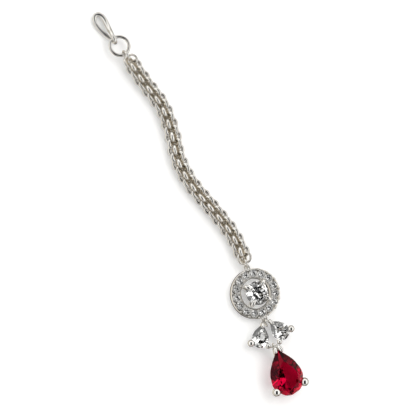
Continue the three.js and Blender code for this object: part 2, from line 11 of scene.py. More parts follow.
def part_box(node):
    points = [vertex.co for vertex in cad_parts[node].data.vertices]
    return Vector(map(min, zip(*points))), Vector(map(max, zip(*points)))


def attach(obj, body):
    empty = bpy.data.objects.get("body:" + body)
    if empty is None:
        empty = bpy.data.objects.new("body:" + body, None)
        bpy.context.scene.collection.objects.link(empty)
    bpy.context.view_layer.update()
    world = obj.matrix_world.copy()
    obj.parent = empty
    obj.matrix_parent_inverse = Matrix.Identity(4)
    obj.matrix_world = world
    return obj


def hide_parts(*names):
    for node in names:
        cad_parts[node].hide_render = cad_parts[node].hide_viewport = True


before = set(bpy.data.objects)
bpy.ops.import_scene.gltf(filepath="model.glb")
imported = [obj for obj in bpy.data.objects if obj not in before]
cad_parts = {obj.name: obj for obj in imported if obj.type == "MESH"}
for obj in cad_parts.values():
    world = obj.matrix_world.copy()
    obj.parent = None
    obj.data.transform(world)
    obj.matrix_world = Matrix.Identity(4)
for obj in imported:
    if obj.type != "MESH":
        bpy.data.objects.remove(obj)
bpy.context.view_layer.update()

MM = 0.001
stone_low, stone_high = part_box("centre_stone")
HALO_MIDDLE = Vector(((stone_low.x + stone_high.x) / 2, (stone_low.y + stone_high.y) / 2, 0))
PLACE = Matrix.Translation(HALO_MIDDLE) @ Matrix.Scale(MM, 4)
TO_MM = PLACE.inverted()


class Measured:
    """What the frame says of a node: its corners, middle and size, in millimetres"""

    def __init__(self, node):
        low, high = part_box(node)
        self.low = TO_MM @ low
        self.high = TO_MM @ high
        self.middle = (self.low + self.high) / 2
        self.size = self.high - self.low


# Camera, at the photograph's angle
CAMERA_DISTANCE = 430
CAMERA_LEAN = 15            # degrees from straight down
CAMERA_SIDE = 187           # degrees round the jewel, from +X to the side that it leans to
PICTURE_TURN = -18          # degrees from +X to the picture's right
PICTURE_WIDTH = 122.7       # what the picture takes in, at the jewel
CAMERA_AIM = Vector((-5.2, 28.4, 1.5))

# Metal
BAND_HEIGHT = 2.0
BAND_EDGE = 0.3
HALO_DIAMETER = 15.0
HALO_OPENING = 8.9
HALO_STONES = 15
SEAT_DIAMETER = 2.16
COLLAR_WIRE = 0.28
COLLAR_WIDTH = 2.58
COLLAR_RISE = 0.06          # of its wire's middle above the band
LIP_WIRE = 0.34
GRAIN_DIAMETER = 0.72
GRAIN_RISE = 0.02
GRAINS = ((-0.95, 0.9), (1.2, 1.1))     # out from the stones' circle, and size as a share
LOOP_WIRE = 0.55
LOOP_WIDTH = 1.5
BASKET_RING = 5.2
BASKET_WIRE = 0.7
BASKET_BAR_WIRE = 0.6
CLAW_FOOT_WIRE = 0.8
CLAW_WIRE = 1.2
CLAW_REACH = 0.62
WIRE_LIFT = 0.05            # how far above the surface the lowest wires run
PEAR_LENGTH = 6.6
PEAR_WIDTH = 4.8
PEAR_SWELL = 0.2            # how far the stones' girdles stand out over their seats
PEAR_SPREAD = 28.5          # degrees of each pear from the pendant's axis
PEAR_OUTER_BALL = 2.1
PEAR_INNER_BALL = 1.6
PEAR_PRONG_WIRE = 1.0
PEAR_PRONG_OUT = 0.7
CROSS_BAR_WIRE = 0.6
CROSS_BAR_GAP = 0.2         # round the bar, in the drop's loop
DROP_BALL = 2.55
DROP_PRONG_OUT = 0.25
DROP_CLAW_WIRE = 1.15
GALLERY_HEIGHT = 0.8
GALLERY_WALL = 0.7
GALLERY_SHARE = 0.66        # of the stone's outline
CHAIN_RING = 3.8
CHAIN_WIRE = 1.08
CHAIN_END_WIRE = 0.68
CHAIN_FAN_OFFSET = 0.66     # of each ring's middle from the chain's middle line
LINK_WIRE = 0.62
LINK_GAP = 0.12             # between the wires of two links
JUMP_RING_WIRE = 1.0
HOOK_LENGTH = 8.8
HOOK_WIDTH = 2.9
HOOK_PLACE = 25             # degrees round the jump ring from its top
HOOK_LEAN = 15              # degrees that the hook leans to the left
HOOK_EYE_RADIUS = 1.255     # from the jump ring's wire to the middle of the hook's wire round it
HOOK_LYING = 0.66           # height of the wire's middle where it lies

# Stones: shares of a stone's width or outline, and degrees
CROWN_SHARE = 0.17          # above the girdle
PAVILION_SHARE = 0.4
ROUND_TABLE = 0.57
PEAR_TABLE = 0.56
RED_TABLE = 0.62
ROUND_GIRDLE = 0.014        # half the girdle's thickness
PEAR_GIRDLE = 0.012
LOWER_TIP_SHARE = 0.24      # where the lower facets' tips are, from the point below to the girdle
CENTRE_STONE_TURN = 11.25
HALO_STONE_TURN = 19        # degrees from each halo stone to the next

# The chain's route, top to bottom
CHAIN_ROUTE = [
    (-13.2, 76.6), (-10.8, 69.2), (-8.2, 61.2), (-8.0, 52.9), (-8.8, 44.7),
    (-7.4, 36.5), (-4.1, 28.4), (-1.2, 20.7),
]
COURSES = 35
WIDE_COURSE = (-98, -22, 80)    # degrees from upright of a course's rings
NARROW_COURSE = (-66, 40)
END_COURSE = (-60, 60)
WEAVE_DEPTH = (0.7, 1.6)        # under the chain's outside, from silver to the brown of painted shade

# The hook's wire: across and along as shares of half its width and its length, lift as a share of
# the height from where the wire lies to the jump ring, and the wire's thickness in millimetres
HOOK_LEFT_LEG = [
    (-1.00, 0.74, 0, 1.2), (-1.02, 0.58, 0, 1.2), (-0.73, 0.34, 0, 1.18), (-0.34, 0.16, 0, 1.1),
]
HOOK_RIGHT_LEG = [
    (0.2, 0.17, 1.5, 1.3), (0.46, 0.34, 0.75, 1.45), (0.83, 0.59, 0.25, 1.5), (0.97, 0.78, 0.12, 1.45),
    (0.7, 0.94, 0.08, 1.38), (0.05, 0.99, 0.05, 1.32), (-0.63, 0.93, 0, 1.26), (-0.97, 0.8, 0, 1.2),
]
HOOK_EYE_WIRE = 1.1
HOOK_SEAM_GAP = 0.3

ALONG = Vector((0, 1, 0))
UP = Vector((0, 0, 1))


def rad(degrees):
    return math.radians(degrees)


def turned(degrees):
    return Vector((math.cos(rad(degrees)), math.sin(rad(degrees)), 0))


# Shapes

def smooth_line(rows, steps):
    """Points on a smooth curve through the given rows, each a point and a radius"""
    rows = [Vector(row) for row in rows]
    rows = [2 * rows[0] - rows[1], *rows, 2 * rows[-1] - rows[-2]]
    line = []
    for a, b, c, d in zip(rows, rows[1:], rows[2:], rows[3:]):
        for i in range(steps):
            t = i / steps
            bend = (2 * a - 5 * b + 4 * c - d) * t * t + (3 * b - a - 3 * c + d) * t ** 3
            line.append((2 * b + (c - a) * t + bend) / 2)
    line.append(rows[-2])
    return line


def join(bm, part, place=Matrix.Identity(4)):
    """Adds a part to a piece, in its place"""
    mesh = bpy.data.meshes.new("part")
    part.to_mesh(mesh)
    part.free()
    mesh.transform(place)
    bm.from_mesh(mesh)
    bpy.data.meshes.remove(mesh)


def round_ended(line):
    """The line with a rounded cap of smaller rows added at each end"""
    caps = []
    for end, inside in ((line[0], line[1]), (line[-1], line[-2])):
        out = (end.xyz - inside.xyz).normalized()
        caps.append([
            Vector((*(end.xyz + out * end.w * math.sin(rad(a))), end.w * math.cos(rad(a))))
            for a in (30, 55, 75, 88)
        ])
    return [*reversed(caps[0]), *line, *caps[1]]


def wire(bm, rows, steps=6, sides=12):
    """A round wire through rows of x, y, z and thickness"""
    line = smooth_line([(x, y, z, thickness / 2) for x, y, z, thickness in rows], steps)
    line = round_ended(line)
    turn = Quaternion()
    way = UP
    before = None
    part = bmesh.new()
    for i, row in enumerate(line):
        ahead = line[min(i + 1, len(line) - 1)].xyz - line[max(i - 1, 0)].xyz
        ahead.normalize()
        turn = way.rotation_difference(ahead) @ turn
        way = ahead
        stand = Matrix.Translation(row.xyz) @ turn.to_matrix().to_4x4() @ Matrix.Scale(row.w, 4)
        if before is None:
            made = bmesh.ops.create_circle(part, cap_ends=True, segments=sides, radius=1, matrix=stand)
            face = made["verts"][0].link_faces[0]
        else:
            made = bmesh.ops.extrude_face_region(part, geom=[face])["geom"]
            face = next(f for f in made if isinstance(f, bmesh.types.BMFace))
            bmesh.ops.transform(part, matrix=stand @ before.inverted(), verts=face.verts[:])
        before = stand
    join(bm, part)


def stood(middle, along, outward):
    """A place whose X runs along, Y outward and Z across both"""
    across = along.cross(outward)
    turn = Matrix((along, outward, across)).transposed().to_4x4()
    return Matrix.Translation(middle) @ turn


def ring(bm, place, diameter, thickness, sides=12, steps=40):
    """A round ring of wire in the place's XY plane"""
    part = bmesh.new()
    section = Matrix.Translation((diameter / 2 - thickness / 2, 0, 0)) @ Matrix.Rotation(rad(90), 4, "X")
    bmesh.ops.create_circle(part, segments=sides, radius=thickness / 2, matrix=section)
    bmesh.ops.spin(
        part, geom=[*part.verts, *part.edges], axis=UP, angle=2 * math.pi, steps=steps, use_merge=True)
    join(bm, part, place)


def ball(bm, middle, diameter):
    part = bmesh.new()
    bmesh.ops.create_uvsphere(part, u_segments=24, v_segments=16, radius=diameter / 2)
    join(bm, part, Matrix.Translation(middle))


def pear_point(length, width, t):
    """A point of a pear's outline, t from 0 at its tip round its left side to 1 at the tip again"""
    r = width / 2
    tip = length - r
    side = 1 if t > 0.5 else -1
    part = min(t, 1 - t) * 2
    straight = 0.6
    if part < straight:
        s = part / straight
        x = 3 * s * (1 - s) ** 2 * 0.42 * r + 3 * s * s * (1 - s) * r + s ** 3 * r
        y = (1 - s) ** 3 * tip + 3 * s * (1 - s) ** 2 * 0.74 * tip + 3 * s * s * (1 - s) * 0.46 * tip
        return Vector((side * x, y))
    angle = (part - straight) / (1 - straight) * math.pi / 2
    return Vector((side * r * math.cos(angle), -r * math.sin(angle)))


def round_point(diameter, t):
    angle = 2 * math.pi * t
    return Vector((-math.sin(angle), math.cos(angle))) * diameter / 2


def finish(bm, name, material, node, smooth=50, second=None):
    """A closed piece from its mesh, in place, riding on the jewel and standing for its node"""
    bmesh.ops.recalc_face_normals(bm, faces=bm.faces[:])
    bmesh.ops.transform(bm, matrix=PLACE, verts=bm.verts[:])
    mesh = bpy.data.meshes.new(name)
    bm.to_mesh(mesh)
    bm.free()
    if smooth:
        mesh.shade_smooth()
        mesh.set_sharp_from_angle(angle=rad(smooth))
    piece = bpy.data.objects.new(name, mesh)
    bpy.context.scene.collection.objects.link(piece)
    mesh.materials.append(material)
    if second:
        mesh.materials.append(second)
    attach(piece, "root")
    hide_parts(node)


# Shader maths

class Value:
    """A node's output that can be added, multiplied and compared in an expression"""

    def __init__(self, paint, socket):
        self.paint = paint
        self.socket = socket

    def math(self, operation, *inputs):
        numbered = dict(enumerate(inputs))
        return self.paint.node("ShaderNodeMath", {"operation": operation}, numbered)

    def __add__(self, other):
        return self.math("ADD", self, other)

    def __radd__(self, other):
        return self.math("ADD", other, self)

    def __sub__(self, other):
        return self.math("SUBTRACT", self, other)

    def __rsub__(self, other):
        return self.math("SUBTRACT", other, self)

    def __mul__(self, other):
        return self.math("MULTIPLY", self, other)

    def __rmul__(self, other):
        return self.math("MULTIPLY", other, self)

    def between(self, low, high):
        """0 below low, 1 above high, and a smooth step from one to the other"""
        settings = {"interpolation_type": "SMOOTHSTEP"}
        return self.paint.node("ShaderNodeMapRange", settings, {0: self, 1: low, 2: high})


class Paint:
    """A material's or the world's nodes"""

    def __init__(self, owner):
        owner.use_nodes = True
        self.tree = owner.node_tree
        self.tree.nodes.clear()

    def node(self, kind, settings=None, inputs=None, output=0):
        made = self.tree.nodes.new(kind)
        for name, value in (settings or {}).items():
            setattr(made, name, value)
        for name, value in (inputs or {}).items():
            if isinstance(value, Value):
                self.tree.links.new(value.socket, made.inputs[name])
            else:
                made.inputs[name].default_value = value
        return Value(self, made.outputs[output]) if len(made.outputs) else made

    def mix(self, factor, first, second):
        settings = {"data_type": "RGBA"}
        return self.node("ShaderNodeMix", settings, {0: factor, 6: first, 7: second}, output=2)

    def noise(self, scale, detail=2.0, stretch=(1, 1, 1)):
        where = self.node("ShaderNodeTexCoord", output="Object")
        where = self.node(
            "ShaderNodeMapping", {"vector_type": "POINT"}, {"Vector": where, "Scale": stretch})
        return self.node("ShaderNodeTexNoise", inputs={"Vector": where, "Scale": scale, "Detail": detail})


def metal(name, colour, warm, roughness, wear, painted_shade=None, brown=None):
    """Polished metal with faint clouding, fine rubbed patches and the smallest of dents.
    Its sixth argument, a function of the paint, gives where shade is painted into the colour, 0 to 1, and
    brown is the colour of that painted shade."""
    material = bpy.data.materials.new(name)
    paint = Paint(material)
    clouds = paint.noise(260, 3)
    rubs = paint.noise(900, 4, (1, 2.4, 1))
    dents = paint.noise(420, 2)
    bump = paint.node("ShaderNodeBump", inputs={"Strength": wear, "Distance": 0.00006, "Height": dents})
    shade = paint.mix(clouds.between(0.35, 0.75), colour, warm)
    # painted shade: the colour turns brown where the mask is 1
    if painted_shade:
        shade = paint.mix(painted_shade(paint), shade, brown)
    surface = paint.node("ShaderNodeBsdfPrincipled", inputs={
        "Base Color": shade,
        "Metallic": 1.0,
        "Roughness": roughness + rubs.between(0.45, 0.8) * 0.06,
        "Normal": bump,
    })
    paint.node("ShaderNodeOutputMaterial", inputs={"Surface": surface})
    return material


def crystal(name, colour, tint, ior, fleck_scale, shine=(1, 1, 1, 1)):
    """A clear cut stone whose colour drifts a little across it, shine its reflections' colour"""
    material = bpy.data.materials.new(name)
    paint = Paint(material)
    flecks = paint.noise(fleck_scale, 1)
    surface = paint.node("ShaderNodeBsdfPrincipled", inputs={
        "Base Color": paint.mix(flecks.between(0.4, 0.65), colour, tint),
        "Roughness": 0.0,
        "IOR": ior,
        "Specular Tint": shine,
        "Transmission Weight": 1.0,
    })
    paint.node("ShaderNodeOutputMaterial", inputs={"Surface": surface})
    return material


def shade_between_stones(paint):
    """Painted shade on the halo's band: 1 on its flat top between the stones, where the collars and grains
    cast shade, and 0 below it
    """
    height = paint.node("ShaderNodeTexCoord", output="Object")
    height = paint.node("ShaderNodeSeparateXYZ", inputs={0: height}, output="Z")
    return height.between(0.996 * BAND_HEIGHT * MM, 0.999 * BAND_HEIGHT * MM)


def shade_inside_weave(paint):
    """Painted shade in the chain: 0 at its outside and 1 deep in the weave, from the depth that the
    chain's mesh carries
    """
    depth = paint.node("ShaderNodeAttribute", {"attribute_name": "depth"}, output="Fac")
    return depth.between(*WEAVE_DEPTH)


# Painted shade: the brown deep in the chain's weave
WEAVE_SHADE_BROWN = (0.70, 0.64, 0.54, 1)
# Painted shade: the brown on the halo band's top between its stones, under the collars and grains
PAVE_SHADE_BROWN = (0.44, 0.385, 0.31, 1)
SILVER = metal("bright_silver", (0.80, 0.79, 0.77, 1), (0.73, 0.71, 0.68, 1), 0.03, 0.15)
# The band's silver has painted shade on its flat top between the stones
PAVE_SILVER = metal(
    "pave_silver", (0.86, 0.845, 0.82, 1), (0.78, 0.75, 0.71, 1), 0.10, 0.3, shade_between_stones, PAVE_SHADE_BROWN)
# The chain's silver has painted shade, browner deeper in the weave
CHAIN_SILVER = metal(
    "chain_silver", (0.78, 0.765, 0.74, 1), (0.70, 0.67, 0.63, 1), 0.04, 0.15, shade_inside_weave, WEAVE_SHADE_BROWN)
WHITE_STONE = crystal("white_stone", (1.0, 1.0, 0.99, 1), (0.95, 0.96, 0.97, 1), 2.1, 500)
RED_STONE = crystal(
    "red_stone", (0.37, 0.001, 0.022, 1), (0.25, 0.001, 0.013, 1), 1.6, 260, (0.5, 0.12, 0.16, 1))


# Stones

def plane_through(a, b, c):
    """A plane through three points, as a point and its outward normal away from the stone's middle"""
    normal = (b - a).cross(c - a).normalized()
    return (a, normal if normal.dot(a) > 0 else -normal)


def height_on(plane, x, y):
    point, normal = plane
    return point.z - (normal.x * (x - point.x) + normal.y * (y - point.y)) / normal.z


def cut_stone(outline, crown, pavilion, table, girdle, corners, mains=8):
    """A brilliant cut: a block with the girdle's outline, cut by the planes of its facets.
    outline(t) is the girdle, table the table's share of it, girdle half the girdle's thickness."""
    bm = bmesh.new()
    block = bm.faces.new([bm.verts.new((*outline(i / corners), -pavilion)) for i in range(corners)])
    lifted = bmesh.ops.extrude_face_region(bm, geom=[block])["geom"]
    height = Vector((0, 0, crown + pavilion))
    bmesh.ops.translate(bm, vec=height, verts=[v for v in lifted if isinstance(v, bmesh.types.BMVert)])

    def girdle_point(t, side):
        return Vector((*outline(t % 1), side * girdle))

    point = Vector((0, 0, -pavilion))
    planes = [(Vector((0, 0, crown)), UP)]
    tops, bottoms = [], []
    for i in range(mains):
        t = i / mains
        tangent = Vector((*(outline((t + 0.004) % 1) - outline((t - 0.004) % 1)), 0))
        edge = girdle_point(t, 1)
        corner = Vector((edge.x * table, edge.y * table, crown))
        tops.append(plane_through(edge, edge + tangent, corner))
        edge = girdle_point(t, -1)
        bottoms.append(plane_through(edge, edge + tangent, point))
    for i in range(mains):
        after = (i + 1) % mains
        middle = girdle_point((i + 0.5) / mains, 1)
        share = (1 + table) / 2
        x, y = middle.x * share, middle.y * share
        tip = Vector((x, y, min(height_on(tops[i], x, y), height_on(tops[after], x, y))))
        corner_a = girdle_point(i / mains, 1)
        corner_b = girdle_point((i + 1) / mains, 1)
        table_a = Vector((corner_a.x * table, corner_a.y * table, crown))
        table_b = Vector((corner_b.x * table, corner_b.y * table, crown))
        planes.append(plane_through(table_a, table_b, tip))
        planes += [plane_through(corner_a, middle, tip), plane_through(middle, corner_b, tip)]
        middle = girdle_point((i + 0.5) / mains, -1)
        x, y = middle.x * LOWER_TIP_SHARE, middle.y * LOWER_TIP_SHARE
        tip = Vector((x, y, max(height_on(bottoms[i], x, y), height_on(bottoms[after], x, y))))
        corner_a.z = corner_b.z = -girdle
        planes += [plane_through(corner_a, middle, tip), plane_through(middle, corner_b, tip)]
    for place, normal in [*tops, *bottoms, *planes]:
        everything = [*bm.verts, *bm.edges, *bm.faces]
        bmesh.ops.bisect_plane(
            bm, geom=everything, dist=0.0004, plane_co=place, plane_no=normal, clear_outer=True)
        bmesh.ops.holes_fill(bm, edges=[e for e in bm.edges if e.is_boundary], sides=0)
    bmesh.ops.remove_doubles(bm, verts=bm.verts[:], dist=0.002)
    bmesh.ops.dissolve_degenerate(bm, edges=bm.edges[:], dist=0.001)
    return bm


def girdle_level(node):
    """The height of a stone's girdle, from its node's lowest and highest points"""
    share = PAVILION_SHARE / (PAVILION_SHARE + CROWN_SHARE)
    return node.low.z + share * node.size.z


def crown_height(node):
    return node.size.z * CROWN_SHARE / (PAVILION_SHARE + CROWN_SHARE)


def round_stone(node_name, degrees, corners):
    node = Measured(node_name)
    diameter = 2 * max(node.high.x - node.middle.x, node.high.y - node.middle.y)
    crown = crown_height(node)
    bm = cut_stone(
        lambda t: round_point(diameter, t),
        crown, node.size.z - crown, ROUND_TABLE, diameter * ROUND_GIRDLE, corners)
    place = Matrix.Translation((node.middle.x, node.middle.y, node.low.z + node.size.z - crown))
    bmesh.ops.transform(bm, matrix=place @ Matrix.Rotation(rad(degrees), 4, "Z"), verts=bm.verts[:])
    finish(bm, node_name + "_cut", WHITE_STONE, node_name, smooth=0)


def pear_stone(node_name, length, width, degrees, table, material, mains=8, swell=0):
    """A pear-shaped stone, its round end placed by the node's box and turned about its middle"""
    node = Measured(node_name)
    crown = crown_height(node)
    bm = cut_stone(
        lambda t: pear_point(length + 2 * swell, width + 2 * swell, t),
        crown, node.size.z - crown, table, width * PEAR_GIRDLE, 64, mains)
    place = pear_place(node, width, degrees)
    place.translation.z = node.high.z - crown
    bmesh.ops.transform(bm, matrix=place, verts=bm.verts[:])
    finish(bm, node_name + "_cut", material, node_name, smooth=0)


def pear_place(node, width, degrees):
    """Where a pear lies, turned from the pendant's axis: its round end touches its box's lower side"""
    round_end = node.low.y + width / 2
    x = node.middle.x
    if degrees > 0:
        x = node.high.x - width / 2
    if degrees < 0:
        x = node.low.x + width / 2
    return Matrix.Translation((x, round_end, 0)) @ Matrix.Rotation(rad(degrees), 4, "Z")


round_stone("centre_stone", CENTRE_STONE_TURN, 64)
HALO_CIRCLE = math.hypot(Measured("halo_stone_01").middle.x, Measured("halo_stone_01").middle.y)
for i in range(HALO_STONES):
    round_stone(f"halo_stone_{i + 1:02d}", i * HALO_STONE_TURN, 32)
for pear, degrees in (("left_pear_stone", -PEAR_SPREAD), ("right_pear_stone", PEAR_SPREAD)):
    pear_stone(
        pear, PEAR_LENGTH, PEAR_WIDTH, degrees, PEAR_TABLE, WHITE_STONE, 10, PEAR_SWELL)
RED_PEAR = Measured("red_pear_stone")
pear_stone("red_pear_stone", RED_PEAR.size.y, RED_PEAR.size.x, 0, RED_TABLE, RED_STONE)


# Halo

def stone_angle(i):
    return -90 + 360 * i / HALO_STONES


def loop_of_edges(verts):
    verts = set(verts)
    return [e for e in {e for v in verts for e in v.link_edges} if set(e.verts) <= verts]


def pulled_down(bm, edges, middle, steps):
    """Walls under a loop of edges: each step scales it about a middle and lowers it"""
    for share, drop in steps:
        made = bmesh.ops.extrude_edge_only(bm, edges=edges)["geom"]
        verts = [v for v in made if isinstance(v, bmesh.types.BMVert)]
        edges = [e for e in made if isinstance(e, bmesh.types.BMEdge)]
        bmesh.ops.scale(bm, vec=(share, share, 1), verts=verts, space=Matrix.Translation(-middle))
        bmesh.ops.translate(bm, vec=(0, 0, -drop), verts=verts)
    return edges


def halo_band(bm):
    """The flat ring with a seat sunk for each stone, its edges rounded"""
    top = Matrix.Translation((0, 0, BAND_HEIGHT))
    outer = HALO_DIAMETER / 2
    inner = HALO_OPENING / 2
    rims = []
    for radius in (outer - BAND_EDGE, inner + BAND_EDGE):
        made = bmesh.ops.create_circle(bm, segments=120, radius=radius, matrix=top)["verts"]
        rims.append(loop_of_edges(made))
    seats = []
    for i in range(HALO_STONES):
        middle = turned(stone_angle(i)) * HALO_CIRCLE
        made = bmesh.ops.create_circle(
            bm, segments=24, radius=SEAT_DIAMETER / 2, matrix=top @ Matrix.Translation(middle))["verts"]
        seats.append((middle, loop_of_edges(made)))
    flat = [*rims[0], *rims[1], *(edge for _, edges in seats for edge in edges)]
    bmesh.ops.triangle_fill(bm, edges=flat, use_beauty=True, normal=UP)
    for middle, edges in seats:
        floor = pulled_down(bm, edges, middle, [(0.94, 0.12), (0.62, 0.55), (0.5, 0.33)])
        bmesh.ops.edgeloop_fill(bm, edges=floor)
    origin = Vector((0, 0, 0))
    edge = BAND_EDGE
    r = outer - edge
    outside = pulled_down(bm, rims[0], origin, [
        ((r + 0.6 * edge) / r, edge * 0.15), ((r + edge) / (r + 0.6 * edge), edge * 0.6),
        (1, BAND_HEIGHT - 1.5 * edge), ((r + 0.4 * edge) / (r + edge), edge * 0.75),
    ])
    r = inner + edge
    inside = pulled_down(bm, rims[1], origin, [
        ((r - 0.6 * edge) / r, edge * 0.15), ((r - edge) / (r - 0.6 * edge), edge * 0.6),
        (1, BAND_HEIGHT - 1.5 * edge), ((r - 0.4 * edge) / (r - edge), edge * 0.75),
    ])
    bmesh.ops.bridge_loops(bm, edges=[*outside, *inside])


def halo_loop(bm, way, level, reach):
    """A loop on the halo's edge, at its top for way 1 and at its bottom for -1"""
    half = LOOP_WIDTH / 2
    root = HALO_DIAMETER / 2 - LOOP_WIRE
    across = [(-1, None), (-1, 0.6), (-0.6, 0.12), (0, 0), (0.6, 0.12), (1, 0.6), (1, None)]
    wire(bm, [
        (x * half, way * (root if short is None else reach - short * half), level, LOOP_WIRE)
        for x, short in across
    ])


def centre_basket(bm):
    stone = Measured("centre_stone")
    girdle = girdle_level(stone)
    radius = stone.size.x / 2
    level = BASKET_WIRE / 2 + WIRE_LIFT
    ring(bm, Matrix.Translation((0, 0, level)), BASKET_RING, BASKET_WIRE)
    foot = (BASKET_RING - BASKET_WIRE) / 2
    outside = radius + CLAW_WIRE * 0.42
    for degrees in (45, 135, 225, 315):
        way = turned(degrees)
        rows = [
            (foot, level, CLAW_FOOT_WIRE),
            ((foot + outside) / 2, girdle * 0.45, CLAW_FOOT_WIRE),
            (outside, girdle * 0.85, 0.9),
            (outside - 0.02, girdle + 0.35, CLAW_WIRE),
            (radius - 0.1, girdle + 0.72, CLAW_WIRE),
            (radius - CLAW_REACH, girdle + 0.76, CLAW_WIRE * 0.92),
        ]
        wire(bm, [(way.x * r, way.y * r, z, thick) for r, z, thick in rows])
        end = way * (HALO_OPENING / 2 + BASKET_WIRE)
        wire(bm, [(*(way * foot).xy, level, BASKET_BAR_WIRE), (*end.xy, level, BASKET_BAR_WIRE)])


def halo_metal():
    bm = bmesh.new()
    halo_band(bm)
    # The band takes the second material, with painted shade on its top between the stones
    for face in bm.faces:
        face.material_index = 1
    for i in range(HALO_STONES):
        middle = turned(stone_angle(i)) * HALO_CIRCLE
        middle.z = BAND_HEIGHT + COLLAR_RISE
        ring(bm, Matrix.Translation(middle), COLLAR_WIDTH, COLLAR_WIRE, 10, 32)
        between = turned(stone_angle(i + 0.5))
        for out, share in GRAINS:
            place = between * (HALO_CIRCLE + out)
            ball(bm, (place.x, place.y, BAND_HEIGHT + GRAIN_RISE), GRAIN_DIAMETER * share)
    box = Measured("halo_setting")
    level = Measured("bottom_link").middle.z
    halo_loop(bm, 1, level, box.high.y - LOOP_WIRE / 2)
    halo_loop(bm, -1, level, -box.low.y - LOOP_WIRE / 2)
    centre_basket(bm)
    lip = Matrix.Translation((0, 0, BAND_HEIGHT - LIP_WIRE * 0.2))
    ring(bm, lip, HALO_OPENING + LIP_WIRE * 2, LIP_WIRE, 10, 96)
    finish(bm, "halo_metal", SILVER, "halo_setting", second=PAVE_SILVER)


halo_metal()


# Pear pair and drop

def gallery(bm, place, length, width):
    """The flat frame under a pear stone: its outline inset, lifted and rounded"""
    outline = [pear_point(length, width, i / 48) * GALLERY_SHARE for i in range(48)]
    face = bm.faces.new([bm.verts.new((p.x, p.y, 0)) for p in outline])
    before = set(bm.faces)
    bmesh.ops.inset_region(bm, faces=[face], thickness=GALLERY_WALL, use_even_offset=True)
    rim = [f for f in bm.faces if f not in before]
    bmesh.ops.delete(bm, geom=[face], context="FACES_ONLY")
    lifted = bmesh.ops.extrude_face_region(bm, geom=rim)["geom"]
    lifted = [v for v in lifted if isinstance(v, bmesh.types.BMVert)]
    bmesh.ops.translate(bm, vec=(0, 0, GALLERY_HEIGHT), verts=lifted)
    verts = {v for f in rim for v in f.verts} | set(lifted)
    bmesh.ops.transform(bm, matrix=place, verts=list(verts))


def prong(bm, place, angle, stone_radius, out, level, head, leg):
    """A leg from the frame below, and a ball that overlaps the girdle"""
    way = turned(angle)
    foot = stone_radius * GALLERY_SHARE - GALLERY_WALL / 2
    reach = stone_radius + out
    rows = [(foot, leg / 2 + WIRE_LIFT), ((foot + reach + leg) / 2, level / 2), (reach, level)]
    wire(bm, [(*(place @ Vector((way.x * r, way.y * r, z))), leg) for r, z in rows])
    middle = place @ Vector((way.x * reach, way.y * reach, level + head * 0.1))
    ball(bm, middle, head)


def tip_claw(bm, place, x, tip, level, thick, lean):
    """A claw from the frame below, up and over the stone's tip"""
    out = thick * 0.42
    points = [
        (x * 0.4, (tip + out) * GALLERY_SHARE - out, thick / 2 + WIRE_LIFT),
        (x * 0.8, tip - thick * 0.35, level * 0.6),
        (x, tip + out, level),
        (x + lean, tip - thick * 0.5, level + thick * 0.55),
    ]
    wire(bm, [(*(place @ Vector(p)), thick) for p in points])


def pear_metal():
    bm = bmesh.new()
    link_level = Measured("pear_link").middle.z
    inner_places = []
    tips = []
    for name, side in (("left_pear_stone", -1), ("right_pear_stone", 1)):
        stone = Measured(name)
        girdle = girdle_level(stone)
        place = pear_place(stone, PEAR_WIDTH, side * PEAR_SPREAD)
        radius = PEAR_WIDTH / 2
        gallery(bm, place, PEAR_LENGTH, PEAR_WIDTH)
        for angle, head in ((-148, PEAR_OUTER_BALL), (-32, PEAR_INNER_BALL)):
            angle = angle if side < 0 else 180 - angle
            prong(bm, place, angle, radius, PEAR_PRONG_OUT, girdle, head, PEAR_PRONG_WIRE)
        reach = turned(angle) * (radius + PEAR_PRONG_OUT)
        inner_places.append(place @ Vector((reach.x, reach.y, link_level)))
        tips.append(place @ Vector((0, PEAR_LENGTH - radius, 0)))
        tip_claw(bm, place, 0, PEAR_LENGTH - radius, girdle, PEAR_PRONG_WIRE, 0)
    left, right = inner_places
    bar = Measured("drop_setting").high.y - LOOP_WIRE - CROSS_BAR_GAP - CROSS_BAR_WIRE / 2
    wire(bm, [
        (*left, CROSS_BAR_WIRE), (left.x * 0.5, bar, link_level, CROSS_BAR_WIRE),
        (right.x * 0.5, bar, link_level, CROSS_BAR_WIRE), (*right, CROSS_BAR_WIRE),
    ])
    arch = Measured("pear_setting").high.y - LOOP_WIRE / 2
    shoulder = arch - LOOP_WIRE * 0.3
    tip_x, foot = tips[1].x, tips[1].y - PEAR_PRONG_WIRE * 0.6
    line = [(-tip_x, foot), (-tip_x * 0.6, shoulder), (0, arch), (tip_x * 0.6, shoulder), (tip_x, foot)]
    wire(bm, [(x, y, link_level, LOOP_WIRE) for x, y in line])
    finish(bm, "pear_metal", SILVER, "pear_setting")


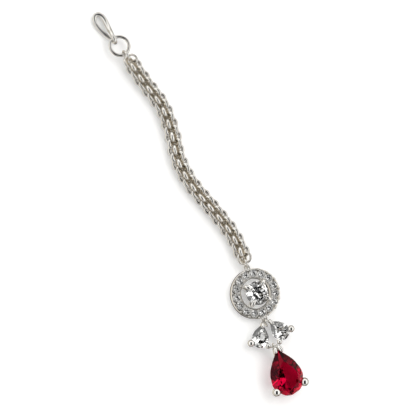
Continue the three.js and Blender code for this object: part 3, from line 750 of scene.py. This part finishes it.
def drop_metal():
    bm = bmesh.new()
    box = Measured("drop_setting")
    length, width = RED_PEAR.size.y, RED_PEAR.size.x
    girdle = girdle_level(RED_PEAR)
    place = pear_place(RED_PEAR, width, 0)
    tip = length - width / 2
    gallery(bm, place, length, width)
    for angle in (-150, -30):
        prong(bm, place, angle, width / 2, DROP_PRONG_OUT, girdle, DROP_BALL, DROP_CLAW_WIRE)
    for side in (-1, 1):
        tip_claw(bm, place, side * DROP_CLAW_WIRE * 0.55, tip, girdle, DROP_CLAW_WIRE, side * 0.3)
    level = Measured("pear_link").middle.z
    loop = CROSS_BAR_WIRE + 2 * (CROSS_BAR_GAP + LOOP_WIRE)
    middle = Vector((0, box.high.y - loop / 2, level))
    ring(bm, stood(middle, ALONG, UP), loop, LOOP_WIRE)
    low_frame = tip * GALLERY_SHARE - GALLERY_WALL / 2
    neck = [(tip + LOOP_WIRE / 2, level), (tip * 0.88, level * 0.7), (low_frame, GALLERY_HEIGHT / 2)]
    wire(bm, [(*(place @ Vector((0, y, z))), LOOP_WIRE) for y, z in neck])
    finish(bm, "drop_metal", SILVER, "drop_setting")


pear_metal()
drop_metal()


# Chain, links, jump ring and hook

def upright_link(name, way, piece_name):
    """A round link that stands on edge in the direction it pulls"""
    bm = bmesh.new()
    node = Measured(name)
    ring(bm, stood(node.middle, way, UP), node.size.z, LINK_WIRE)
    finish(bm, piece_name, SILVER, name)


def chain_line():
    """Evenly spaced places of the chain's courses, each a point and the way ahead"""
    level = CHAIN_RING / 2 - CHAIN_FAN_OFFSET
    top_level = Measured("top_link").middle.z
    bottom = Measured("bottom_link")
    halo_top = Measured("halo_setting").high.y - LOOP_WIRE / 2
    knot = CHAIN_END_WIRE * 1.9
    radius = (CHAIN_RING - CHAIN_END_WIRE) / 2
    rise = math.sqrt(radius ** 2 - CHAIN_FAN_OFFSET ** 2)
    end = halo_top + LOOP_WIRE / 2 + LINK_GAP + knot / 2 + rise
    rows = [(*CHAIN_ROUTE[0], top_level, 0)]
    rows += [(x, y, level, 0) for x, y in CHAIN_ROUTE[1:]]
    rows += [(0, end + CHAIN_RING, level, 0), (0, end, bottom.middle.z, 0)]
    fine = [row.xyz for row in smooth_line(rows, 60)]
    lengths = [0]
    for a, b in zip(fine, fine[1:]):
        lengths.append(lengths[-1] + (b - a).length)
    places = []
    for i in range(COURSES):
        target = lengths[-1] * i / (COURSES - 1)
        n = min(range(len(lengths)), key=lambda k: abs(lengths[k] - target))
        ahead = fine[min(n + 4, len(fine) - 1)] - fine[max(n - 4, 0)]
        places.append((fine[n], Vector((ahead.x, ahead.y, 0)).normalized()))
    return fine, places


def woven_chain():
    bm = bmesh.new()
    fine, places = chain_line()
    for i, (middle, along) in enumerate(places):
        leans, thick = (WIDE_COURSE if i % 2 else NARROW_COURSE), CHAIN_WIRE
        if i in (0, len(places) - 1):
            leans, thick = END_COURSE, CHAIN_END_WIRE
        for lean in leans:
            outward = UP * math.cos(rad(lean)) - along.cross(UP) * math.sin(rad(lean))
            ring(bm, stood(middle + outward * CHAIN_FAN_OFFSET, along, outward), CHAIN_RING, thick, 10, 28)
    middles = KDTree(len(fine))
    for i, point in enumerate(fine):
        middles.insert(point, i)
    middles.balance()
    # How deep each point lies in the weave, which the chain's painted shade reads
    depth = bm.verts.layers.float.new("depth")
    outside = CHAIN_RING / 2 + CHAIN_FAN_OFFSET
    for vert in bm.verts:
        vert[depth] = outside - middles.find(vert.co)[2]
    finish(bm, "woven_chain", CHAIN_SILVER, "chain")


def jump_ring():
    bm = bmesh.new()
    node = Measured("jump_ring")
    ring(bm, Matrix.Translation(node.middle), node.size.x, JUMP_RING_WIRE, 16, 64)
    finish(bm, "jump_ring_wire", SILVER, "jump_ring")


def hook():
    bm = bmesh.new()
    jump = Measured("jump_ring")
    radius = (jump.size.x - JUMP_RING_WIRE) / 2
    eye = jump.middle + turned(90 + HOOK_PLACE) * radius
    away = turned(90 + HOOK_LEAN)
    side = away.cross(UP)
    level = jump.middle.z

    def on_leg(across, along, lift, thick, extra=0):
        p = eye + side * (across * HOOK_WIDTH / 2) + away * (along * HOOK_LENGTH + extra)
        return (p.x, p.y, HOOK_LYING + lift * (level - HOOK_LYING), thick)

    def on_eye(degrees):
        p = eye + away * (math.cos(rad(degrees)) * HOOK_EYE_RADIUS)
        return (p.x, p.y, level + math.sin(rad(degrees)) * HOOK_EYE_RADIUS, HOOK_EYE_WIRE)

    rows = [on_leg(*row) for row in HOOK_LEFT_LEG]
    rows += [on_eye(degrees) for degrees in (-90, -135, -180, -225, -270)]
    rows += [on_leg(*row) for row in HOOK_RIGHT_LEG]
    _, along, _, thick = HOOK_LEFT_LEG[0]
    rows.append(on_leg(-0.97, along, 0, thick, HOOK_SEAM_GAP))
    wire(bm, rows, steps=7, sides=16)
    finish(bm, "hook_wire", SILVER, "hook")


route_way = Vector((*CHAIN_ROUTE[1], 0)) - Vector((*CHAIN_ROUTE[0], 0))
upright_link("top_link", route_way.normalized(), "top_link_wire")
upright_link("bottom_link", ALONG, "bottom_link_wire")
upright_link("pear_link", ALONG, "pear_link_wire")
woven_chain()
jump_ring()
hook()


# Studio

# Its lengths are in metres, and its angles in degrees
CARD_SIZE = 4
CARD_DROP = 0.00002         # of the card under the jewel's lowest side
CARD_GLOW = 0.3             # the card is lit from below too, and shines a little
KEY_SIDE = 30               # of the main light, round the jewel
KEY_HEIGHT = 59             # above the surface
KEY_DISTANCE = 1.7
KEY_SIZE = 1.5
KEY_ENERGY = 11
TENT_STRENGTH = 1.36
TENT_WHITE = (1, 1, 0.985, 1)
# The tent's dark slit, as parts of a direction across and up the picture: its middle, and from how far
# off the middle it fades to how far off it ends
SLIT_SIDE = 0.08
SLIT_WIDTH = (0.42, 0.55)
SLIT_RISE = -0.1
SLIT_LENGTH = (0.6, 0.9)
SLIT_BLACK = (0.012, 0.012, 0.014, 1)
# The room round the tent's foot, as parts of a direction upwards: where it fades into the tent, and
# where its lighter lower part fades into it
ROOM_TOP = (0.04, 0.22)
ROOM_FLOOR = (-0.3, -0.02)
ROOM_BROWN = (0.14, 0.118, 0.09, 1)
ROOM_FLOOR_BROWN = (0.64, 0.60, 0.53, 1)


def floor():
    bm = bmesh.new()
    bmesh.ops.create_grid(bm, x_segments=2, y_segments=2, size=CARD_SIZE)
    bmesh.ops.translate(bm, vec=(0, 0, -CARD_DROP), verts=bm.verts[:])
    mesh = bpy.data.meshes.new("table_top")
    bm.to_mesh(mesh)
    bm.free()
    plane = bpy.data.objects.new("table_top", mesh)
    bpy.context.scene.collection.objects.link(plane)
    material = bpy.data.materials.new("white_card")
    paint = Paint(material)
    grain = paint.noise(30, 3)
    surface = paint.node("ShaderNodeBsdfPrincipled", inputs={
        "Base Color": paint.mix(grain, (0.885, 0.885, 0.885, 1), (0.875, 0.875, 0.875, 1)),
        "Roughness": 0.9,
        "Specular IOR Level": 0.1,
        "Emission Color": (1, 1, 1, 1),
        "Emission Strength": CARD_GLOW,
    })
    paint.node("ShaderNodeOutputMaterial", inputs={"Surface": surface})
    mesh.materials.append(material)
    plane.visible_glossy = False


CAMERA_BACK = turned(CAMERA_SIDE) * math.sin(rad(CAMERA_LEAN)) + UP * math.cos(rad(CAMERA_LEAN))
CAMERA_RIGHT = turned(PICTURE_TURN)
CAMERA_RIGHT = (CAMERA_RIGHT - CAMERA_BACK * CAMERA_RIGHT.dot(CAMERA_BACK)).normalized()
CAMERA_UP = CAMERA_BACK.cross(CAMERA_RIGHT)


def camera():
    stand = Matrix((CAMERA_RIGHT, CAMERA_UP, CAMERA_BACK)).transposed().to_4x4()
    data = bpy.data.cameras.new("camera")
    data.sensor_width = 36
    data.lens = data.sensor_width * CAMERA_DISTANCE / PICTURE_WIDTH
    data.clip_start = 0.01
    eye = bpy.data.objects.new("camera", data)
    eye.matrix_world = Matrix.Translation(PLACE @ (CAMERA_AIM + CAMERA_BACK * CAMERA_DISTANCE)) @ stand
    bpy.context.scene.collection.objects.link(eye)
    bpy.context.scene.camera = eye


def key_light():
    data = bpy.data.lights.new("key", "AREA")
    data.shape = "DISK"
    data.size = KEY_SIZE
    data.energy = KEY_ENERGY
    data.color = (1, 0.985, 0.96)
    light = bpy.data.objects.new("key", data)
    light.visible_glossy = False
    way = turned(KEY_SIDE) * math.cos(rad(KEY_HEIGHT)) + UP * math.sin(rad(KEY_HEIGHT))
    turn = way.to_track_quat("Z", "Y").to_matrix().to_4x4()
    light.matrix_world = Matrix.Translation(way * KEY_DISTANCE) @ turn
    bpy.context.scene.collection.objects.link(light)


def tent():
    """A white tent with a dark slit over the jewel, and a brown room low down"""
    world = bpy.data.worlds.new("tent")
    bpy.context.scene.world = world
    paint = Paint(world)
    way = paint.node("ShaderNodeTexCoord", output="Generated")

    def away_from(axis, middle):
        """How far a direction is along an axis from a middle value, to either side"""
        dot = paint.node("ShaderNodeVectorMath", {"operation": "DOT_PRODUCT"}, {0: way, 1: axis}, "Value")
        return dot.math("ABSOLUTE", dot - middle)

    across = away_from(CAMERA_RIGHT, SLIT_SIDE).between(*SLIT_WIDTH)
    slit = (1 - across) * (1 - away_from(CAMERA_UP, SLIT_RISE).between(*SLIT_LENGTH))
    height = paint.node("ShaderNodeSeparateXYZ", inputs={0: way}, output="Z")
    low = 1 - height.between(*ROOM_TOP)
    below = 1 - height.between(*ROOM_FLOOR)
    room = paint.mix(below, ROOM_BROWN, ROOM_FLOOR_BROWN)
    colour = paint.mix(low, TENT_WHITE, room)
    colour = paint.mix(slit, colour, SLIT_BLACK)
    light = paint.node("ShaderNodeBackground", inputs={"Color": colour, "Strength": TENT_STRENGTH})
    paint.node("ShaderNodeOutputWorld", inputs={"Surface": light})


floor()
camera()
key_light()
tent()
bpy.context.scene.view_settings.view_transform = "Standard"
